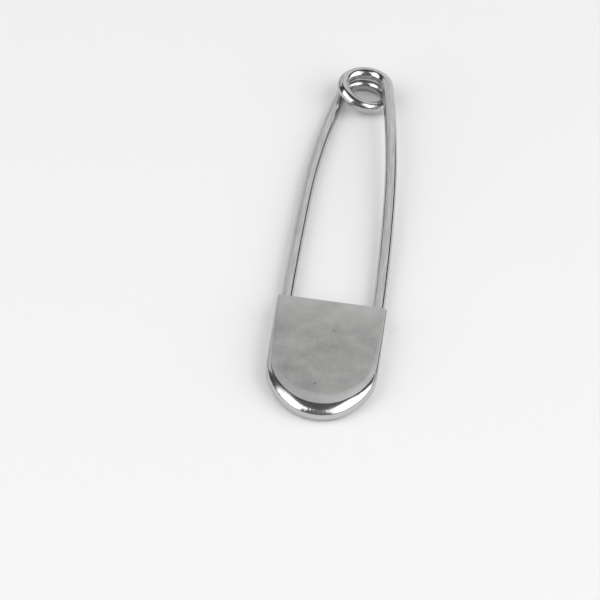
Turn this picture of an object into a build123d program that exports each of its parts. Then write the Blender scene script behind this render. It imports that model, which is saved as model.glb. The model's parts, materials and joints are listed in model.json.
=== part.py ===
from build123d import *
from math import atan2, cos, degrees, dist, pi, radians, sin, sqrt
import os

os.makedirs("parts", exist_ok=True)

# A large steel safety pin lying flat, front plate up, coil end towards +Y.
# One length of spring wire makes the hook in the cap, the spine, coil, arm and point.
# One stamped sheet cap is rolled round the hook and, as an open channel, round the point.
# The origin is in the middle of the length and width, on the surface the pin lies on.
# Lengths are in millimetres and angles in degrees.

# Whole pin
pin_length = 127.0

# Wire
wire_diameter = 3.0

# Coil. Its drop is the height between the wire's centre at the arm's end and at the spine's.
coil_outer_diameter = 14.1
coil_drop = 3.7
coil_shift = 0.25

# How high the wire still is at each quarter turn, as shares of the coil's drop,
# and how steeply it falls there, as shares of the drop over a quarter turn
coil_height_shares = (1, 0.97, 0.94, 0.455, 0.045, 0, 0)
coil_fall_shares = (0, 0.03, 0.05, 0.6, 0.08, 0, 0)

# How far the wire leans outwards where it leaves the coil
spine_lean = 10.5
arm_lean = 9.0

# Cap
cap_length = 37.5
cap_width = 26.0
cap_end_depth = 15.6
sheet_thickness = 0.5
front_fold_radius = 1.15
sheet_edge_radius = 0.15

# The rolled edge round the wire, closed beside the hook and open beside the arm.
# The wire has little play in the roll, and more below the front plate.
wire_play = 0.1
front_play = 0.7
closed_lip_reach = 1.0
arm_lip_setback = 0.9
lip_step_radius = 0.6

# Point
arm_mouth_gap = 0.4
point_depth = 20.5
taper_length = 11.0
tip_radius = 0.15

# How far a cutting block runs past the face it opens
overrun = 2.0

# Wire and coil, worked out from the sizes above
wire_radius = wire_diameter / 2
coil_radius = (coil_outer_diameter - wire_diameter) / 2
coil_low_z = wire_radius
coil_top_z = coil_low_z + coil_drop
coil_quarter_run = coil_radius * pi / 2
coil_centre_y = (pin_length - coil_outer_diameter) / 2

# Cap, worked out from the sizes above
roll_radius = sheet_thickness + wire_play + wire_radius
wire_inset = roll_radius
cap_wire_z = roll_radius
cap_thickness = cap_wire_z + wire_radius + front_play + sheet_thickness
cap_half_width = cap_width / 2
cap_tip_y = -pin_length / 2
cap_mouth_y = cap_tip_y + cap_length
cap_bend_y = cap_tip_y + cap_end_depth
wire_x = cap_half_width - wire_inset

# The cap's round end is three tangent arcs close to half an ellipse
nose_radius = cap_half_width**2 / cap_end_depth
nose_centre_y = cap_tip_y + nose_radius
side_radius = cap_end_depth * (cap_half_width + cap_end_depth) / cap_width
side_centre_x = side_radius - cap_half_width
side_turn = degrees(
    atan2(
        cap_width * (cap_half_width + cap_end_depth),
        cap_end_depth * (cap_width + cap_end_depth),
    )
)
nose_turn = 180 - 2 * side_turn


def left_arc(inset):
    """The arc from the cap's left side towards its nose."""
    return CenterArc((side_centre_x, cap_bend_y), side_radius - inset, 180, side_turn)


def nose_arc(inset):
    """The arc round the cap's nose."""
    return CenterArc((0, nose_centre_y), nose_radius - inset, 180 + side_turn, nose_turn)


def right_arc(inset):
    """The arc from the nose to the cap's right side."""
    start = 360 - side_turn
    return CenterArc((-side_centre_x, cap_bend_y), side_radius - inset, start, side_turn)


def cap_plan(inset, mouth_y):
    """The cap's plan as a face, drawn in from its silhouette by the inset."""
    half = cap_half_width - inset
    left_side = Line((-half, mouth_y), (-half, cap_bend_y))
    right_side = Line((half, cap_bend_y), (half, mouth_y))
    mouth = Line((half, mouth_y), (-half, mouth_y))
    ends = [left_arc(inset), nose_arc(inset), right_arc(inset)]
    return make_face([left_side, *ends, right_side, mouth])


def folded_block(inset, mouth_y):
    """The cap's plan as a block, rounded along its sides and nose but not at its mouth."""
    low_z = inset
    high_z = cap_thickness - inset
    block = Pos(0, 0, low_z) * extrude(cap_plan(inset, mouth_y), high_z - low_z)
    for level, radius in ((low_z, roll_radius), (high_z, front_fold_radius)):
        flat_edges = block.edges().filter_by_position(Axis.Z, level, level)
        rolled_edges = flat_edges.sort_by(Axis.Y)[:-1]
        block = fillet(rolled_edges, radius - inset)
    return block


def back_window():
    """The opening inside the back lip, wider beside the arm so that it can slip out."""
    mouth_y = cap_mouth_y + overrun
    closed_part = cap_plan(wire_inset + closed_lip_reach, mouth_y)
    arm_edge_x = wire_x + arm_lip_setback
    arm_part = Rectangle(arm_edge_x, mouth_y - cap_bend_y, align=Align.MIN)
    window = closed_part + Pos(0, cap_bend_y) * arm_part
    bend_corners = window.vertices().filter_by_position(Axis.Y, cap_bend_y, cap_bend_y)
    step_corners = bend_corners.sort_by(Axis.X)[-2:]
    return fillet(step_corners, lip_step_radius)


def make_cap():
    """The stamped cap: a flat front plate, a rolled edge and a narrow lip at the back."""
    outside = folded_block(0, cap_mouth_y)
    inside = folded_block(sheet_thickness, cap_mouth_y + overrun)
    window = Pos(0, 0, -overrun) * extrude(back_window(), cap_wire_z + overrun)
    cap = outside - inside - window
    mouth_edges = cap.edges().filter_by_position(Axis.Y, cap_mouth_y, cap_mouth_y)
    return fillet(mouth_edges, sheet_edge_radius)


def biarc(start, start_way, end, end_way):
    """Two tangent arcs from one place and heading to another."""
    run = end - start
    both_ways = start_way + end_way
    turn = 2 * (1 - start_way.dot(end_way))
    along = run.dot(both_ways)
    reach = (sqrt(along**2 + turn * run.dot(run)) - along) / turn
    joint = (start + end + (start_way - end_way) * reach) * 0.5
    first = TangentArc(start, joint, tangent=start_way)
    second = TangentArc(joint, end, tangent=first % 1)
    return [first, second]


def coil_place(angle, height):
    """A point on the coil's centre line."""
    return Vector(
        coil_radius * cos(radians(angle)) - coil_shift,
        coil_radius * sin(radians(angle)) + coil_centre_y,
        height,
    )


def coil_way(angle, fall):
    """The wire's direction as it goes round the coil, falling by a share of its run."""
    return Vector(-sin(radians(angle)), cos(radians(angle)), -fall).normalized()


# The coil's stations in turning order: nearly level from the arm round the far side,
# down across the near side, and level again from there to the spine
arm_angle = arm_lean
spine_angle = 540 - spine_lean
coil_angles = (arm_angle, 90, 180, 270, 360, 450, spine_angle)
coil_heights = [coil_low_z + coil_drop * share for share in coil_height_shares]
coil_falls = [coil_drop / coil_quarter_run * share for share in coil_fall_shares]
coil_stations = list(zip(coil_angles, coil_heights, coil_falls))

# The coil's two ends run straight for one wire diameter
arm_root = coil_place(arm_angle, coil_top_z)
arm_way = coil_way(arm_angle, 0) * -1
arm_start = arm_root + arm_way * wire_diameter
spine_root = coil_place(spine_angle, coil_low_z)
spine_way = coil_way(spine_angle, 0)
spine_start = spine_root + spine_way * wire_diameter

coil_edges = [Line(arm_start, arm_root)]
for here, there in zip(coil_stations, coil_stations[1:]):
    here_angle, here_z, here_fall = here
    there_angle, there_z, there_fall = there
    coil_edges += biarc(
        coil_place(here_angle, here_z),
        coil_way(here_angle, here_fall),
        coil_place(there_angle, there_z),
        coil_way(there_angle, there_fall),
    )
coil_edges.append(Line(spine_root, spine_start))

# The spine and the arm bow outwards on their way from the coil to the cap's mouth
to_cap = Vector(0, -1, 0)
spine_mouth = Vector(-wire_x, cap_mouth_y, cap_wire_z)
spine_edges = biarc(spine_start, spine_way, spine_mouth, to_cap)
arm_mouth = Vector(wire_x, cap_mouth_y + arm_mouth_gap, cap_wire_z)
arm_edges = biarc(arm_start, arm_way, arm_mouth, to_cap)

# The hook follows the inside of the rolled edge and stops past the nose
wire_plane = Plane.XY.offset(cap_wire_z)
hook_bend = Vector(-wire_x, cap_bend_y, cap_wire_z)
hook_edges = [
    Line(spine_mouth, hook_bend),
    wire_plane * left_arc(wire_inset),
    wire_plane * nose_arc(wire_inset),
]


def wire_tube(edges):
    """The wire swept along edges that follow on from each other."""
    path = Wire(edges)
    section = Plane(origin=path @ 0, z_dir=path % 0) * Circle(wire_radius)
    return sweep(section, path=path)


def make_point():
    """The arm's straight end, ground to a point, inside the cap's open channel."""
    length = arm_mouth_gap + point_depth
    shoulder = (wire_radius, length - taper_length)
    tip_side = (tip_radius, length - tip_radius)
    half_section = make_face(
        [
            Line((0, 0), (wire_radius, 0)),
            Line((wire_radius, 0), shoulder),
            TangentArc(shoulder, tip_side, tangent=(0, 1)),
            Line(tip_side, (0, length)),
            Line((0, length), (0, 0)),
        ]
    )
    return Pos(arm_mouth) * Rot(0, 0, 180) * revolve(half_section, Axis.Y)


def least_gap(edges, apart):
    """The least clear gap between stretches of wire that lie this far apart along it."""
    steps = 24
    places = []
    start = 0
    for edge in edges:
        for step in range(steps):
            share = step / steps
            places.append((start + share * edge.length, tuple(edge @ share)))
        start += edge.length
    gaps = [
        dist(here, there) - wire_diameter
        for count, (near, here) in enumerate(places)
        for far, there in places[count:]
        if far - near > apart
    ]
    return min(gaps)


nodes = {
    "clasp_cap": make_cap(),
    "spine_hook": wire_tube(hook_edges),
    "spine_wire": wire_tube(spine_edges),
    "spring_coil": wire_tube(coil_edges),
    "pin_arm": wire_tube(arm_edges),
    "pin_point": make_point(),
}
for name, solid in nodes.items():
    solid.label = name
    export_step(solid, f"parts/{name}.step")

coil_gap = least_gap(coil_edges, pi * coil_radius)
print(f"least gap between the coil's turns {coil_gap:.3f} mm")
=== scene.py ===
import json
from math import acos, atan2, cos, pi, radians, sin, sqrt

import bmesh
import bpy
from mathutils import Matrix, Vector, noise


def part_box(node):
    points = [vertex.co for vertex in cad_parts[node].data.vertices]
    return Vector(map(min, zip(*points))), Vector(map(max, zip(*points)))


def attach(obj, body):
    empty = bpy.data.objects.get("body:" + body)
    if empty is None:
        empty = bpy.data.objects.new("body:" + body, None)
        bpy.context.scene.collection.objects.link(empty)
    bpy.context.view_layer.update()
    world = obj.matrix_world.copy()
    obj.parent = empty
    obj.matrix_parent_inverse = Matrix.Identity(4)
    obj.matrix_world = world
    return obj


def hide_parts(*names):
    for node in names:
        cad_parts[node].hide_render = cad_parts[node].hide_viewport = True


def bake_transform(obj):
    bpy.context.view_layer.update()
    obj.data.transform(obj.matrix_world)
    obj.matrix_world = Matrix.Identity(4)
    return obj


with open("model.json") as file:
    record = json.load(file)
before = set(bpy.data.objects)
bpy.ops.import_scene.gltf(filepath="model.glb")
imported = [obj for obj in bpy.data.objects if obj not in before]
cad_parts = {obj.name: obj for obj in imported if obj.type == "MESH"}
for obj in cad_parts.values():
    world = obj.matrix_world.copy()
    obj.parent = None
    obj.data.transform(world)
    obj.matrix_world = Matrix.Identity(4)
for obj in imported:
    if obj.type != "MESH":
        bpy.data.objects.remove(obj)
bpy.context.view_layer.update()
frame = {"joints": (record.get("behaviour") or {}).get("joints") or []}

# Lengths are written in millimetres and turned to metres by this unit
MM = 0.001

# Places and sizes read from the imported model
joints = {joint["name"]: joint for joint in frame["joints"]}
cap_low, cap_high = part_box("clasp_cap")
hook_low, hook_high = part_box("spine_hook")
coil_low, coil_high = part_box("spring_coil")
point_low, point_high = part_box("pin_point")
coil_centre = Vector(joints["arm_swing"]["pos_m"])
arm_start = Vector(joints["arm_release"]["pos_m"])

# Wire
wire_radius = (hook_high.z - hook_low.z) / 2
wire_sides = 44
straight_spacing = 1.0 * MM
hook_spacing = 0.6 * MM
bent_spacing = 0.3 * MM
wire_middle_z = (hook_high.z + hook_low.z) / 2
spine_lean = radians(10.5)
arm_lean = radians(9.0)
taper_length = 11.0 * MM
tip_radius = 0.15 * MM
least_tip_radius = tip_radius / 4

# Coil: its height and fall at each quarter turn, as shares of the drop from arm to spine
coil_radius = (coil_high.y - coil_low.y) / 2 - wire_radius
coil_low_z = coil_low.z + wire_radius
coil_drop = coil_high.z - wire_radius - coil_low_z
coil_height_shares = (1, 0.97, 0.94, 0.455, 0.045, 0, 0)
coil_fall_shares = (0, 0.03, 0.05, 0.6, 0.08, 0, 0)

# The stations between which the coil crosses its near side
crossing_start = 2
crossing_end = 4

# Cap plan
cap_half_width = (cap_high.x - cap_low.x) / 2
cap_mouth_y = cap_high.y
cap_tip_y = cap_low.y
cap_end_depth = 15.6 * MM
cap_bend_y = cap_tip_y + cap_end_depth
cap_thickness = cap_high.z - cap_low.z
side_radius = cap_end_depth * (cap_half_width + cap_end_depth) / (2 * cap_half_width)
side_centre_x = side_radius - cap_half_width
side_turn = atan2(
    2 * cap_half_width * (cap_half_width + cap_end_depth),
    cap_end_depth * (2 * cap_half_width + cap_end_depth),
)
nose_radius = cap_half_width**2 / cap_end_depth
nose_centre_y = cap_tip_y + nose_radius

# Cap sheet and its folds. The front fold is tight at the mouth and widens towards the nose.
sheet_thickness = 0.5 * MM
sheet_edge_bulge = 0.16 * MM
roll_radius = wire_middle_z
fold_at_mouth = 0.43 * MM
fold_at_nose = 2.45 * MM
fold_growth = 2.6
fold_steepness = 1.15
crease_turn = radians(17)
least_wall = 0.12 * MM

# The border inside the fold, where the face dips to the crease
border_at_mouth = 0.4 * MM
border_at_nose = 3.3 * MM
border_slope = 0.30

# The lip at the back, wide beside the hook and narrow beside the arm
closed_lip_inset = 3.1 * MM
arm_lip_inset = 1.2 * MM
lip_step_length = 1.2 * MM

# The face's low crown and waves, and small puckers in the fold at the nose
face_crown = 0.20 * MM
face_wave = 0.02 * MM
face_wave_length = 9.0 * MM
pucker_depth = 0.05 * MM
pucker_width = 0.45 * MM
pucker_length = 1.6 * MM
pucker_reach = 6.5 * MM
pucker_fade = 1.0 * MM

# Painted sheen, a lighter colour that stands in for reflected light: full from this share of the
# border on at the nose, and faint at the mouth
painted_sheen_share = 0.6
mouth_painted_sheen = 0.2
mouth_painted_sheen_reach = 12.0 * MM

# How finely the cap is divided
border_steps = 8
fold_steps = 16
wall_steps = 2
roll_steps = 20
sheet_edge_steps = 8
plate_columns = 36
side_spacing = 0.6 * MM
side_arc_spacing = 0.4 * MM
nose_spacing = 0.12 * MM
edge_corner_turns = (pi / 6, pi / 3)

# Camera, at the photograph's viewing angle: degrees right of the -Y side and above the floor
camera_target = Vector((-7.81, -21.71, 0.0)) * MM
camera_distance = 910.1 * MM
camera_azimuth = 2.18
camera_elevation = 41.27
camera_roll = radians(6.25)
camera_sensor_mm = 36.0
camera_lens_mm = 230.3


def linear(hex_colour):
    """An sRGB hex colour as linear red, green, blue and alpha."""
    channels = [int(hex_colour[place : place + 2], 16) / 255 for place in (1, 3, 5)]
    bent = [c / 12.92 if c <= 0.04045 else ((c + 0.055) / 1.055) ** 2.4 for c in channels]
    return (*bent, 1.0)


def smooth(low, high, value):
    """A smooth rise from 0 at low to 1 at high."""
    share = min(1.0, max(0.0, (value - low) / (high - low)))
    return share * share * (3 - 2 * share)


# Routes of the wire

def line_points(start, end, spacing):
    """Points from start to end, about this far apart."""
    steps = max(1, round((end - start).length / spacing))
    return [start.lerp(end, step / steps) for step in range(steps + 1)]


def arc_points(start, way, end, spacing):
    """Points on the arc that leaves start along way and reaches end, and its last heading."""
    chord = end - start
    turn = 2 * way.angle(chord)
    radius = chord.length / (2 * sin(turn / 2))
    side = (chord - way * chord.dot(way)).normalized()
    steps = max(2, round(radius * turn / spacing))
    points = []
    for step in range(steps + 1):
        angle = turn * step / steps
        points.append(start + way * (radius * sin(angle)) + side * (radius * (1 - cos(angle))))
    return points, way * cos(turn) + side * sin(turn)


def biarc_points(start, start_way, end, end_way, spacing):
    """Points on two tangent arcs from one place and heading to another."""
    run = end - start
    both_ways = start_way + end_way
    turn = 2 * (1 - start_way.dot(end_way))
    along = run.dot(both_ways)
    reach = (sqrt(along**2 + turn * run.dot(run)) - along) / turn
    joint = (start + end + (start_way - end_way) * reach) / 2
    first, joint_way = arc_points(start, start_way, joint, spacing)
    second, _ = arc_points(joint, joint_way, end, spacing)
    return first + second[1:]


def circle_points(centre, radius, start_angle, turn, z, spacing):
    """Points round a level circle."""
    steps = round(radius * abs(turn) / spacing)
    angles = [start_angle + turn * step / steps for step in range(steps + 1)]
    return [Vector((centre[0] + radius * cos(a), centre[1] + radius * sin(a), z)) for a in angles]


def coil_place(angle, height):
    """A point on the coil's centre line."""
    x = coil_centre.x + coil_radius * cos(angle)
    y = coil_centre.y + coil_radius * sin(angle)
    return Vector((x, y, height))


def coil_way(angle, fall):
    """The wire's heading as it goes round the coil from the arm, falling by a share of its run."""
    return Vector((-sin(angle), cos(angle), -fall)).normalized()


def joined(*routes):
    """Routes that follow on from each other as one, with no point twice."""
    points = list(routes[0])
    for route in routes[1:]:
        points += route[1:]
    return points


wire_inset = roll_radius
wire_x = cap_half_width - wire_inset
to_cap = Vector((0, -1, 0))
spine_mouth = Vector((-wire_x, cap_mouth_y, wire_middle_z))
hook_bend = Vector((-wire_x, cap_bend_y, wire_middle_z))
arm_mouth = Vector((wire_x, point_high.y, wire_middle_z))
point_tip = Vector((wire_x, point_low.y, wire_middle_z))

spine_angle = 3 * pi - spine_lean
coil_angles = [arm_lean, *(radians(quarter * 90) for quarter in range(1, 6)), spine_angle]
coil_heights = [coil_low_z + coil_drop * share for share in coil_height_shares]
quarter_run = coil_radius * pi / 2
coil_falls = [coil_drop / quarter_run * share for share in coil_fall_shares]
coil_stations = list(zip(coil_angles, coil_heights, coil_falls))


def coil_stretch(first, last):
    """The coil's route between two of its stations."""
    stretches = []
    for here, there in zip(coil_stations[first:last], coil_stations[first + 1 : last + 1]):
        start, start_way = coil_place(*here[:2]), coil_way(here[0], here[2])
        end, end_way = coil_place(*there[:2]), coil_way(there[0], there[2])
        stretches.append(biarc_points(start, start_way, end, end_way, bent_spacing))
    return joined(*stretches)


arm_root = coil_place(*coil_stations[0][:2])
arm_way = -coil_way(arm_lean, 0)
spine_root = coil_place(*coil_stations[-1][:2])
spine_way = coil_way(spine_angle, 0)
spine_start = spine_root + spine_way * (2 * wire_radius)

hook_route = joined(
    line_points(spine_mouth, hook_bend, straight_spacing),
    circle_points(
        (side_centre_x, cap_bend_y),
        side_radius - wire_inset,
        pi,
        side_turn,
        wire_middle_z,
        hook_spacing,
    ),
    circle_points(
        (0, nose_centre_y),
        nose_radius - wire_inset,
        pi + side_turn,
        pi - 2 * side_turn,
        wire_middle_z,
        hook_spacing,
    ),
)
spine_route = biarc_points(spine_start, spine_way, spine_mouth, to_cap, straight_spacing)
low_turn_route = joined(
    coil_stretch(crossing_end, len(coil_stations) - 1),
    line_points(spine_root, spine_start, bent_spacing),
)
crossing_route = coil_stretch(crossing_start, crossing_end)
top_turn_route = joined(
    line_points(arm_start, arm_root, bent_spacing),
    coil_stretch(0, crossing_start),
)
arm_route = biarc_points(arm_start, arm_way, arm_mouth, to_cap, straight_spacing)
point_route = line_points(arm_mouth, point_tip, bent_spacing)


def point_radius(place):
    """The ground point's radius: full at its shoulder, narrowing along an arc to the tip."""
    ground = max(0.0, taper_length - (place - point_tip).length)
    narrowing = wire_radius - tip_radius
    ground_length = taper_length - tip_radius
    arc_radius = (ground_length**2 + narrowing**2) / (2 * narrowing)
    if ground > ground_length:
        return max(taper_length - ground, least_tip_radius)
    return wire_radius - (arc_radius - sqrt(arc_radius**2 - ground**2))


# Meshes

def placed_object(name, data):
    """A mesh, lamp or camera as an object in the scene."""
    made = bpy.data.objects.new(name, data)
    bpy.context.scene.collection.objects.link(made)
    return made


def wire_frames(route):
    """Each point of the route with two directions across it that turn as little as they can."""
    ways = []
    for count in range(len(route)):
        before, after = route[max(0, count - 1)], route[min(len(route) - 1, count + 1)]
        ways.append((after - before).normalized())
    across = Vector((0, 0, 1)) - ways[0] * ways[0].z
    frames = []
    for place, way in zip(route, ways):
        across = (across - way * across.dot(way)).normalized()
        frames.append((place, across, way.cross(across)))
    return frames


# The whole wire is laid out once, so that its surface pattern runs on from piece to piece
wire_routes = {
    "hook_in_cap": hook_route[::-1],
    "fixed_leg": spine_route[::-1],
    "coil_low_turn": low_turn_route[::-1],
    "coil_crossing": crossing_route[::-1],
    "coil_top_turn": top_turn_route[::-1],
    "moving_leg": arm_route,
    "ground_point": point_route,
}
wire_layout = wire_frames(joined(*wire_routes.values()))
first_frame = {}
next_frame = 0
for piece_name, piece_route in wire_routes.items():
    first_frame[piece_name] = next_frame
    next_frame += len(piece_route) - 1


def make_wire(name, radius_at=None):
    """One stretch of the wire as a closed round mesh that knows its place along and round."""
    count = len(wire_routes[name])
    start = first_frame[name]
    frames = wire_layout[start : start + count]
    length = sum((b[0] - a[0]).length for a, b in zip(wire_layout[:start], wire_layout[1:]))
    mesh = bpy.data.meshes.new(name)
    body = bmesh.new()
    place_along = body.verts.layers.float_vector.new("wire_place")
    rings = []
    last_place = frames[0][0]
    for place, across, beside in frames:
        length += (place - last_place).length
        last_place = place
        radius = radius_at(place) if radius_at else wire_radius
        ring = []
        for side in range(wire_sides):
            angle = 2 * pi * side / wire_sides
            vertex = body.verts.new(place + (across * cos(angle) + beside * sin(angle)) * radius)
            vertex[place_along] = (length, wire_radius * cos(angle), wire_radius * sin(angle))
            ring.append(vertex)
        rings.append(ring)
    for ring, following in zip(rings, rings[1:]):
        for side in range(wire_sides):
            after = (side + 1) % wire_sides
            body.faces.new((ring[side], ring[after], following[after], following[side]))
    ends = [body.faces.new(rings[0][::-1]), body.faces.new(rings[-1])]
    for face in body.faces:
        face.smooth = True
    for end in ends:
        for edge in end.edges:
            edge.smooth = False
    bmesh.ops.recalc_face_normals(body, faces=body.faces)
    body.to_mesh(mesh)
    body.free()
    return placed_object(name, mesh)


def cap_plan():
    """The cap's silhouette from mouth to mouth round the nose: places and outward directions."""
    left = [
        (Vector((-cap_half_width, y)), Vector((-1, 0)))
        for y in spaced(cap_mouth_y - sheet_edge_bulge, cap_bend_y, side_spacing)
    ]
    arcs = []
    for centre, radius, start_angle, turn, spacing in (
        ((side_centre_x, cap_bend_y), side_radius, pi, side_turn, side_arc_spacing),
        ((0, nose_centre_y), nose_radius, pi + side_turn, pi / 2 - side_turn, nose_spacing),
    ):
        for angle in spaced(start_angle, start_angle + turn, spacing / radius)[1:]:
            outward = Vector((cos(angle), sin(angle)))
            arcs.append((Vector(centre) + outward * radius, outward))
    half = left + arcs
    mirrored = [
        (Vector((-place.x, place.y)), Vector((-outward.x, outward.y)))
        for place, outward in reversed(half[:-1])
    ]
    return half + mirrored


def spaced(start, end, spacing):
    """Values from start to end, about this far apart."""
    steps = max(1, round(abs(end - start) / spacing))
    return [start + (end - start) * step / steps for step in range(steps + 1)]


def shares(steps):
    """Even shares from 0 to 1."""
    return [step / steps for step in range(steps + 1)]


def cap_section(fold, border, lip_inset):
    """The sheet's section as two rows of inset and height, outside and inside, plate to lip."""
    drop = border * border_slope * 2 / pi
    fold_height = min(fold * fold_steepness, cap_thickness - drop - roll_radius - least_wall)
    across = fold / (1 - sin(crease_turn))
    down = fold_height / cos(crease_turn)
    fold_foot_z = cap_thickness - drop - fold_height
    outer = []
    for share in shares(border_steps):
        slope = atan2(border_slope * sin(share * pi / 2), 1)
        sunk = drop * (1 - cos(share * pi / 2))
        outer.append((fold + border * (1 - share), cap_thickness - sunk, slope))
    for share in shares(fold_steps)[1:]:
        turn = crease_turn + (pi / 2 - crease_turn) * share
        slope = atan2(down * sin(turn), across * cos(turn))
        outer.append((across * (1 - sin(turn)), fold_foot_z + down * cos(turn), slope))
    for share in shares(wall_steps)[1:]:
        outer.append((0, fold_foot_z + (roll_radius - fold_foot_z) * share, pi / 2))
    quarter = roll_radius * pi / 2
    if lip_inset < roll_radius:
        girth = roll_radius * acos(1 - lip_inset / roll_radius)
    else:
        girth = quarter + lip_inset - roll_radius
    for share in shares(roll_steps)[1:]:
        run = girth * share
        turn = min(run, quarter) / roll_radius
        inset = roll_radius * (1 - cos(turn)) + max(0, run - quarter)
        outer.append((inset, roll_radius * (1 - sin(turn)), pi / 2 + turn))
    inner = []
    for inset, z, slope in outer:
        inner_inset = max(inset + sheet_thickness * sin(slope), sheet_thickness)
        inner_z = min(z - sheet_thickness * cos(slope), cap_thickness - drop - sheet_thickness)
        inner.append((inner_inset, inner_z))
    for step in range(border_steps + 1):
        inner[step] = (outer[step][0], outer[step][1] - sheet_thickness)
    return [(inset, z) for inset, z, slope in outer], inner


def lip_inset_at(place):
    """How far in the back lip reaches: past the wire beside the hook, and less beside the arm."""
    if place.x < 0:
        return closed_lip_inset
    opened = smooth(cap_bend_y - lip_step_length / 2, cap_bend_y + lip_step_length / 2, place.y)
    return closed_lip_inset + (arm_lip_inset - closed_lip_inset) * opened


def towards_nose(place, at_mouth, at_nose):
    """A size that grows along the cap from the mouth, slowly at first, to the nose."""
    share = (cap_mouth_y - place.y) / (cap_mouth_y - cap_tip_y)
    return at_mouth + (at_nose - at_mouth) * share**fold_growth


def face_rise(x, y):
    """How far the pressed face stands off a true plane: a low crown and a slight waviness."""
    across = x / cap_half_width
    along = (y - cap_tip_y) / (cap_mouth_y - cap_tip_y)
    crown = face_crown * max(0.0, 1 - across**2) * max(0.0, 1 - (2 * along - 1) ** 2)
    wave = face_wave * noise.noise(Vector((x, y, 0)) / face_wave_length)
    return crown + wave * max(0.0, 1 - across**4)


def painted_sheen_at_mouth(place):
    """How much painted sheen lightens the face near its straight edge."""
    return mouth_painted_sheen * (1 - smooth(0, mouth_painted_sheen_reach, cap_mouth_y - place.y))


def make_cap():
    """The stamped cap: flat face, a fold that widens to the nose, rolled edge and back lip."""
    mesh = bpy.data.meshes.new("stamped_cap")
    body = bmesh.new()
    sheet_place = body.verts.layers.float_vector.new("sheet_place")
    # Painted sheen: how much the face's colour is lightened towards the crease and near the mouth
    painted_sheen = body.verts.layers.float.new("painted_sheen")
    stations = cap_plan()
    middle = len(stations) // 2
    lengths = [0.0]
    for (here, _), (there, _) in zip(stations, stations[1:]):
        lengths.append(lengths[-1] + (there - here).length)
    nose_length = lengths[middle]
    outer_rows, inner_rows = [], []
    for (place, outward), length in zip(stations, lengths):
        fold = towards_nose(place, fold_at_mouth, fold_at_nose)
        border = towards_nose(place, border_at_mouth, border_at_nose)
        outer, inner = cap_section(fold, border, lip_inset_at(place))
        along = length - nose_length
        puckered = pucker_depth * (1 - smooth(0, pucker_reach, abs(along)))
        painted_sheen_to_nose = towards_nose(place, 0, 1)
        for rows, section in ((outer_rows, outer), (inner_rows, inner)):
            row = []
            girth = 0.0
            last = section[0]
            for inset, z in section:
                girth += sqrt((inset - last[0]) ** 2 + (z - last[1]) ** 2)
                last = (inset, z)
                spot = place - outward * inset
                pucker = Vector((along / pucker_width, girth / pucker_length, 0))
                depth = noise.noise(pucker) * puckered * smooth(border, border + pucker_fade, girth)
                # The face's rise fades out down the fold, so that no step stands at the crease
                folded = max(0, len(row) - border_steps) / fold_steps
                rise = face_rise(spot.x, spot.y) * max(0, 1 - folded)
                spot3 = Vector((*(spot - outward * depth), z + cap_low.z + rise))
                vertex = body.verts.new(spot3)
                vertex[sheet_place] = (along, girth, 0)
                # Painted sheen: the colour is lighter towards the crease, more so towards the nose
                painted_sheen_at_crease = painted_sheen_to_nose * smooth(0, painted_sheen_share, len(row) / border_steps)
                vertex[painted_sheen] = max(painted_sheen_at_crease, painted_sheen_at_mouth(spot3))
                row.append(vertex)
            rows.append(row)
    for rows in (outer_rows, inner_rows):
        for row, following in zip(rows, rows[1:]):
            for count in range(len(row) - 1):
                face = (row[count], row[count + 1], following[count + 1], following[count])
                made = body.faces.new(face)
                made.material_index = 0 if count < border_steps or rows is inner_rows else 1
    outer_mouth = plate_rows(body, outer_rows, middle, sheet_place, painted_sheen)
    inner_mouth = plate_rows(body, inner_rows, middle, sheet_place, painted_sheen)
    close_sheet_edges(body, outer_rows, inner_rows, outer_mouth, inner_mouth)
    bmesh.ops.recalc_face_normals(body, faces=body.faces)
    for face in body.faces:
        face.smooth = True
    for row, following in zip(outer_rows, outer_rows[1:]):
        body.edges.get((row[border_steps], following[border_steps])).smooth = False
    body.to_mesh(mesh)
    body.free()
    return placed_object("stamped_cap", mesh)


def plate_rows(body, rows, middle, sheet_place, painted_sheen):
    """The flat part of one side of the sheet. It gives the whole row of points at the mouth."""
    grid = []
    for count in range(middle):
        left, right = rows[count][0], rows[-1 - count][0]
        line = [left]
        for column in range(1, plate_columns):
            share = (1 - cos(pi * column / plate_columns)) / 2
            spot = left.co.lerp(right.co, share)
            level = left.co.z - face_rise(left.co.x, left.co.y)
            spot.z = level + face_rise(spot.x, spot.y)
            vertex = body.verts.new(spot)
            vertex[sheet_place] = (spot.x, spot.y, 0)
            # Painted sheen: the face's colour is lightened near the mouth
            vertex[painted_sheen] = painted_sheen_at_mouth(spot)
            line.append(vertex)
        line.append(right)
        grid.append(line)
    for line, following in zip(grid, grid[1:]):
        for column in range(plate_columns):
            quad = (line[column], line[column + 1], following[column + 1], following[column])
            body.faces.new(quad).material_index = 0
    tip = rows[middle][0]
    for column in range(plate_columns):
        body.faces.new((grid[-1][column], grid[-1][column + 1], tip)).material_index = 0
    return rows[0][:0:-1] + grid[0] + rows[-1][1:]


def edge_arc(body, outer, inner, forward):
    """Points round the sheet's edge from its outer to its inner side, bulging forward."""
    middle = (outer.co + inner.co) / 2
    across = (outer.co - inner.co) / 2
    arc = [outer]
    for share in shares(sheet_edge_steps)[1:-1]:
        bulge = forward * (sheet_edge_bulge * sin(pi * share))
        vertex = body.verts.new(middle + across * cos(pi * share) + bulge)
        arc.append(vertex)
    return arc + [inner]


def join_arcs(body, arcs):
    """The sheet's rounded edge as faces between arcs that stand side by side."""
    for arc, following in zip(arcs, arcs[1:]):
        for here, there in zip(zip(arc, arc[1:]), zip(following, following[1:])):
            corners = list(dict.fromkeys((*here, *reversed(there))))
            body.faces.new(corners).material_index = 1


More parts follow.
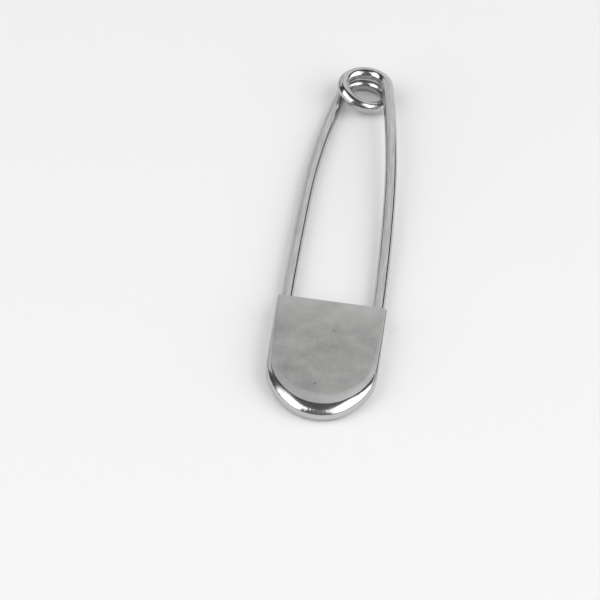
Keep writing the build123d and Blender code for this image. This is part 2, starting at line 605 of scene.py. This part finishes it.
def close_sheet_edges(body, outer_rows, inner_rows, outer_mouth, inner_mouth):
    """Rounds the sheet's edge along the lip, round the mouth and at the two corners between."""
    out_of_mouth = Vector((0, 1, 0))
    lip_ways = [(row[-1].co - row[-2].co).normalized() for row in outer_rows]
    lip_ends = zip(outer_rows, inner_rows, lip_ways)
    lip_arcs = [edge_arc(body, outer[-1], inner[-1], way) for outer, inner, way in lip_ends]
    mouth_ends = zip(outer_mouth, inner_mouth)
    mouth_arcs = [edge_arc(body, outer, inner, out_of_mouth) for outer, inner in mouth_ends]
    join_arcs(body, lip_arcs)
    join_arcs(body, mouth_arcs)
    for end in (0, -1):
        outer, inner = outer_mouth[end], inner_mouth[end]
        turned = [
            edge_arc(body, outer, inner, lip_ways[end] * cos(turn) + out_of_mouth * sin(turn))
            for turn in edge_corner_turns
        ]
        join_arcs(body, [lip_arcs[end], *turned, mouth_arcs[end]])


# Finishes

def add_node(tree, kind, settings):
    """Adds a node. Each setting is one of its own options, or an input's value or link."""
    node = tree.nodes.new(kind)
    for name, value in settings.items():
        if isinstance(name, str) and name not in node.inputs:
            setattr(node, name, value)
        elif isinstance(value, bpy.types.NodeSocket):
            tree.links.new(value, node.inputs[name])
        else:
            node.inputs[name].default_value = value
    return node


def new_material(name):
    """A material with no nodes yet, and its node tree."""
    material = bpy.data.materials.new(name)
    material.use_nodes = True
    material.node_tree.nodes.clear()
    return material, material.node_tree


def pattern_scale(size_mm):
    """How often a noise pattern repeats in a metre, for features of this size."""
    return 1 / (size_mm * MM)


def polished_wire():
    """Bright nickel plate on drawn spring steel: mirror-like, with fine lines drawn along it."""
    material, tree = new_material("polished_nickel_wire")
    place = add_node(tree, "ShaderNodeAttribute", {"attribute_name": "wire_place"})
    # The die's lines are about ten times as coarse as real ones, so that they show at all.
    # Each runs on for several millimetres before it fades.
    stretched = add_node(
        tree,
        "ShaderNodeVectorMath",
        {"operation": "MULTIPLY", 0: place.outputs["Vector"], 1: (0.06, 1.0, 1.0)},
    )
    drawn_lines = add_node(
        tree,
        "ShaderNodeTexNoise",
        {"Vector": stretched.outputs[0], "Scale": pattern_scale(0.35), "Detail": 3.0},
    )
    streaks = add_node(
        tree,
        "ShaderNodeMapRange",
        {"Value": drawn_lines.outputs["Fac"], "From Min": 0.3, "From Max": 0.7},
    )
    handling = add_node(
        tree,
        "ShaderNodeTexNoise",
        {"Vector": place.outputs["Vector"], "Scale": pattern_scale(4.0), "Detail": 4.0},
    )
    roughness = add_node(
        tree,
        "ShaderNodeMapRange",
        {"Value": handling.outputs["Fac"], "To Min": 0.06, "To Max": 0.20},
    )
    tone = add_node(
        tree,
        "ShaderNodeMix",
        {
            "data_type": "RGBA",
            0: streaks.outputs["Result"],
            6: linear("#B4B4B3"),
            7: linear("#CECECD"),
        },
    )
    relief = add_node(
        tree,
        "ShaderNodeBump",
        {"Height": drawn_lines.outputs["Fac"], "Strength": 0.3, "Distance": 0.02 * MM},
    )
    surface = add_node(
        tree,
        "ShaderNodeBsdfPrincipled",
        {
            "Base Color": tone.outputs[2],
            "Metallic": 1.0,
            "Roughness": roughness.outputs["Result"],
            "Normal": relief.outputs["Normal"],
        },
    )
    add_node(tree, "ShaderNodeOutputMaterial", {"Surface": surface.outputs["BSDF"]})
    return material


def satin_face():
    """Nickel plate tumbled to a satin: soft reflections, faint clouds, pits, and painted sheen that
    makes the creases bright.
    """
    material, tree = new_material("satin_nickel_face")
    place = add_node(tree, "ShaderNodeTexCoord", {})
    painted_sheen = add_node(tree, "ShaderNodeAttribute", {"attribute_name": "painted_sheen"})
    clouds = add_node(
        tree,
        "ShaderNodeTexNoise",
        {"Vector": place.outputs["Object"], "Scale": pattern_scale(5.0), "Detail": 5.0},
    )
    cloud_contrast = add_node(
        tree,
        "ShaderNodeMath",
        {"operation": "MULTIPLY_ADD", 0: clouds.outputs["Fac"], 1: 1.6, 2: -0.3},
    )
    grain = add_node(
        tree,
        "ShaderNodeTexNoise",
        {"Vector": place.outputs["Object"], "Scale": pattern_scale(0.4), "Detail": 3.0},
    )
    speckle = add_node(
        tree,
        "ShaderNodeMath",
        {"operation": "MULTIPLY_ADD", 0: grain.outputs["Fac"], 1: 1.0, 2: -0.5},
    )
    mottle = add_node(
        tree,
        "ShaderNodeMath",
        {
            "operation": "ADD",
            "use_clamp": True,
            0: cloud_contrast.outputs[0],
            1: speckle.outputs[0],
        },
    )
    tone = add_node(
        tree,
        "ShaderNodeMix",
        {
            "data_type": "RGBA",
            0: mottle.outputs[0],
            6: linear("#A1A1A0"),
            7: linear("#C5C5C4"),
        },
    )
    # A pit every few millimetres, each a few tenths across
    pit_spread = add_node(
        tree,
        "ShaderNodeTexVoronoi",
        {"Vector": place.outputs["Object"], "Scale": pattern_scale(7.0)},
    )
    pits = add_node(
        tree,
        "ShaderNodeMapRange",
        {
            "Value": pit_spread.outputs["Distance"],
            "From Min": 0.02,
            "From Max": 0.055,
            "To Min": 0.75,
            "To Max": 0.0,
        },
    )
    pitted_tone = add_node(
        tree,
        "ShaderNodeMix",
        {
            "data_type": "RGBA",
            0: pits.outputs["Result"],
            6: tone.outputs[2],
            7: linear("#6A6A69"),
        },
    )
    # Near the mouth and where the face dips to the fold, painted sheen lightens the satin's colour,
    # and the satin is a little less rough there
    painted_sheen_tone = add_node(
        tree,
        "ShaderNodeMix",
        {
            "data_type": "RGBA",
            0: painted_sheen.outputs["Fac"],
            6: pitted_tone.outputs[2],
            7: linear("#ECECEB"),
        },
    )
    cloudy_roughness = add_node(
        tree,
        "ShaderNodeMapRange",
        {"Value": clouds.outputs["Fac"], "To Min": 0.45, "To Max": 0.53},
    )
    roughness = add_node(
        tree,
        "ShaderNodeMath",
        {
            "operation": "MULTIPLY_ADD",
            0: painted_sheen.outputs["Fac"],
            1: -0.06,
            2: cloudy_roughness.outputs["Result"],
        },
    )
    relief = add_node(
        tree,
        "ShaderNodeBump",
        {"Height": grain.outputs["Fac"], "Strength": 0.6, "Distance": 0.03 * MM},
    )
    surface = add_node(
        tree,
        "ShaderNodeBsdfPrincipled",
        {
            "Base Color": painted_sheen_tone.outputs[2],
            "Metallic": 1.0,
            "Roughness": roughness.outputs[0],
            "Normal": relief.outputs["Normal"],
        },
    )
    add_node(tree, "ShaderNodeOutputMaterial", {"Surface": surface.outputs["BSDF"]})
    return material


def polished_edge():
    """Nickel plate burnished by the folding die: bright, with fine rub marks along the fold."""
    material, tree = new_material("burnished_nickel_edge")
    place = add_node(tree, "ShaderNodeAttribute", {"attribute_name": "sheet_place"})
    stretched = add_node(
        tree,
        "ShaderNodeVectorMath",
        {"operation": "MULTIPLY", 0: place.outputs["Vector"], 1: (0.04, 1.0, 1.0)},
    )
    rub_marks = add_node(
        tree,
        "ShaderNodeTexNoise",
        {"Vector": stretched.outputs[0], "Scale": pattern_scale(0.25), "Detail": 4.0},
    )
    roughness = add_node(
        tree,
        "ShaderNodeMapRange",
        {"Value": rub_marks.outputs["Fac"], "To Min": 0.10, "To Max": 0.26},
    )
    relief = add_node(
        tree,
        "ShaderNodeBump",
        {"Height": rub_marks.outputs["Fac"], "Strength": 0.3, "Distance": 0.02 * MM},
    )
    surface = add_node(
        tree,
        "ShaderNodeBsdfPrincipled",
        {
            "Base Color": linear("#C6C6C5"),
            "Metallic": 1.0,
            "Roughness": roughness.outputs["Result"],
            "Normal": relief.outputs["Normal"],
        },
    )
    add_node(tree, "ShaderNodeOutputMaterial", {"Surface": surface.outputs["BSDF"]})
    return material


# The pin

wire_finish = polished_wire()
pieces = {}
for piece_name in wire_routes:
    shaped_by = point_radius if piece_name == "ground_point" else None
    pieces[piece_name] = make_wire(piece_name, shaped_by)
    pieces[piece_name].data.materials.append(wire_finish)

cap = make_cap()
cap.data.materials.append(satin_face())
cap.data.materials.append(polished_edge())

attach(cap, "clasp")
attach(pieces["hook_in_cap"], "clasp")
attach(pieces["fixed_leg"], "clasp")
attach(pieces["coil_low_turn"], "clasp")
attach(pieces["coil_top_turn"], "coil")
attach(pieces["ground_point"], "arm")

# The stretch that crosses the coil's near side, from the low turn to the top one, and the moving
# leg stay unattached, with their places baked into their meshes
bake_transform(pieces["coil_crossing"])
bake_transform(pieces["moving_leg"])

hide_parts("clasp_cap")
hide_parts("spine_hook")
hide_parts("spine_wire")
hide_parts("spring_coil")
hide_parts("pin_arm")
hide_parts("pin_point")


# Studio

def flat_panel(name, corners):
    """A four-cornered sheet."""
    mesh = bpy.data.meshes.new(name)
    mesh.from_pydata(corners, [], [(0, 1, 2, 3)])
    return placed_object(name, mesh)


def plain_matt(name, hex_colour, roughness):
    """A plain matt surface of one colour, with a weak sheen as uncoated paper has."""
    material, tree = new_material(name)
    surface = add_node(
        tree,
        "ShaderNodeBsdfPrincipled",
        {
            "Base Color": linear(hex_colour),
            "Roughness": roughness,
            "Specular IOR Level": 0.2,
        },
    )
    add_node(tree, "ShaderNodeOutputMaterial", {"Surface": surface.outputs["BSDF"]})
    return material


def graded_matt(name, hex_colour, roughness):
    """A matt surface that thins to nothing towards its left edge, as sprayed film does."""
    material, tree = new_material(name)
    place = add_node(tree, "ShaderNodeTexCoord", {})
    across = add_node(tree, "ShaderNodeSeparateXYZ", {0: place.outputs["Generated"]})
    cover = add_node(
        tree,
        "ShaderNodeMapRange",
        {"interpolation_type": "SMOOTHSTEP", "Value": across.outputs["X"], "From Max": 0.75},
    )
    clear = add_node(tree, "ShaderNodeBsdfTransparent", {})
    surface = add_node(
        tree,
        "ShaderNodeBsdfPrincipled",
        {"Base Color": linear(hex_colour), "Roughness": roughness},
    )
    film = add_node(
        tree,
        "ShaderNodeMixShader",
        {0: cover.outputs["Result"], 1: clear.outputs["BSDF"], 2: surface.outputs["BSDF"]},
    )
    add_node(tree, "ShaderNodeOutputMaterial", {"Surface": film.outputs["Shader"]})
    return material


def in_the_room(azimuth, elevation, distance):
    """A place round the pin, by degrees right of the camera's side and above the floor."""
    a, e = radians(azimuth), radians(elevation)
    return Vector((sin(a) * cos(e), -cos(a) * cos(e), sin(e))) * distance


def softbox(name, azimuth, elevation, distance, width, height, brightness):
    """A lamp that faces the pin. Its brightness is that of its face, where 1 is white."""
    lamp = bpy.data.lights.new(name, "AREA")
    lamp.shape = "RECTANGLE"
    lamp.size = width
    lamp.size_y = height
    lamp.energy = brightness * pi * width * height
    place = in_the_room(azimuth, elevation, distance)
    made = placed_object(name, lamp)
    made.location = place
    made.rotation_euler = place.to_track_quat("Z", "Y").to_euler()
    made.visible_camera = False


def metal_card(name, finish, azimuth, elevation, distance, width, height):
    """A card that only the metal mirrors, as a studio uses to draw darker edges on it."""
    place = in_the_room(azimuth, elevation, distance)
    turn = place.to_track_quat("Z", "Y").to_matrix()
    corners = [
        place + turn @ Vector((x * width / 2, y * height / 2, 0))
        for x, y in ((-1, -1), (1, -1), (1, 1), (-1, 1))
    ]
    card = flat_panel(name, corners)
    card.data.materials.append(finish)
    for ray in ("camera", "diffuse", "transmission", "volume_scatter", "shadow"):
        setattr(card, "visible_" + ray, False)


floor_reach = 3.0
floor_z = -0.02 * MM
floor = flat_panel(
    "floor",
    [
        (-floor_reach, -floor_reach, floor_z),
        (floor_reach, -floor_reach, floor_z),
        (floor_reach, floor_reach, floor_z),
        (-floor_reach, floor_reach, floor_z),
    ],
)
floor.data.materials.append(plain_matt("pale_floor", "#F6F6F6", 0.6))

card_roughness = 0.9
black = plain_matt("black_card", "#0C0C0C", card_roughness)
dark_grey = plain_matt("dark_grey_card", "#484848", card_roughness)
mid_grey = plain_matt("mid_grey_card", "#606060", card_roughness)
light_grey = plain_matt("light_grey_card", "#828282", card_roughness)
graded_grey = graded_matt("graded_grey_card", "#ECECEC", card_roughness)

# Each card's finish, degrees round and up, and distance, width and height in metres
cards = {
    "card_behind_camera": (light_grey, 3.5, 36, 1.5, 2.0, 2.2),
    "card_overhead": (mid_grey, 180, 87, 1.25, 0.95, 1.1),
    "card_left": (dark_grey, -101, 30, 1.45, 0.75, 1.6),
    "card_far_left": (graded_grey, -136, 19, 1.45, 1.2, 0.98),
    "card_right": (black, 126, 42, 1.3, 0.42, 0.85),
    "card_high_left": (dark_grey, -133, 52, 1.2, 0.5, 0.5),
    "card_high_right": (dark_grey, 138, 60, 1.2, 0.45, 0.25),
    "card_low_right": (black, 138, 8.5, 1.3, 0.35, 0.4),
}
for card_name, card_values in cards.items():
    metal_card(card_name, *card_values)

# A ring of low black cards from the left round the front to the right
for step, azimuth in enumerate(range(-120, 150, 30)):
    metal_card("card_low_" + str(step), black, azimuth, 4.2, 1.3, 0.8, 0.19)

# Each softbox's degrees round and up, distance, width and height in metres, and brightness
softbox("softbox_left", -60, 37, 1.3, 1.2, 1.5, 1.75)
softbox("softbox_right", 76, 38, 1.3, 2.05, 1.5, 1.55)

# The room lights the pin less brightly than it shows behind it and in it
room_light = 0.38
room_seen = 0.87
world = bpy.data.worlds.new("pale_room")
world.use_nodes = True
room = world.node_tree
room.nodes.clear()
rays = add_node(room, "ShaderNodeLightPath", {})
seen = add_node(
    room,
    "ShaderNodeMath",
    {
        "operation": "MAXIMUM",
        0: rays.outputs["Is Camera Ray"],
        1: rays.outputs["Is Glossy Ray"],
    },
)
seen_or_through = add_node(
    room,
    "ShaderNodeMath",
    {
        "operation": "MAXIMUM",
        0: seen.outputs[0],
        1: rays.outputs["Is Transmission Ray"],
    },
)
level = add_node(
    room,
    "ShaderNodeMapRange",
    {"Value": seen_or_through.outputs[0], "To Min": room_light, "To Max": room_seen},
)
background = add_node(
    room,
    "ShaderNodeBackground",
    {"Color": linear("#FFFFFF"), "Strength": level.outputs["Result"]},
)
add_node(room, "ShaderNodeOutputWorld", {"Surface": background.outputs["Background"]})
bpy.context.scene.world = world

# Camera
back = in_the_room(camera_azimuth, camera_elevation, 1)
level_right = Vector((cos(radians(camera_azimuth)), sin(radians(camera_azimuth)), 0))
level_up = back.cross(level_right)
camera_right = level_right * cos(camera_roll) + level_up * sin(camera_roll)
camera_up = level_up * cos(camera_roll) - level_right * sin(camera_roll)
camera_data = bpy.data.cameras.new("camera")
camera_data.sensor_width = camera_sensor_mm
camera_data.lens = camera_lens_mm
camera = placed_object("camera", camera_data)
turned = Matrix((camera_right, camera_up, back)).transposed().to_4x4()
camera.matrix_world = Matrix.Translation(camera_target + back * camera_distance) @ turned
bpy.context.scene.camera = camera
bpy.context.scene.view_settings.view_transform = "Standard"
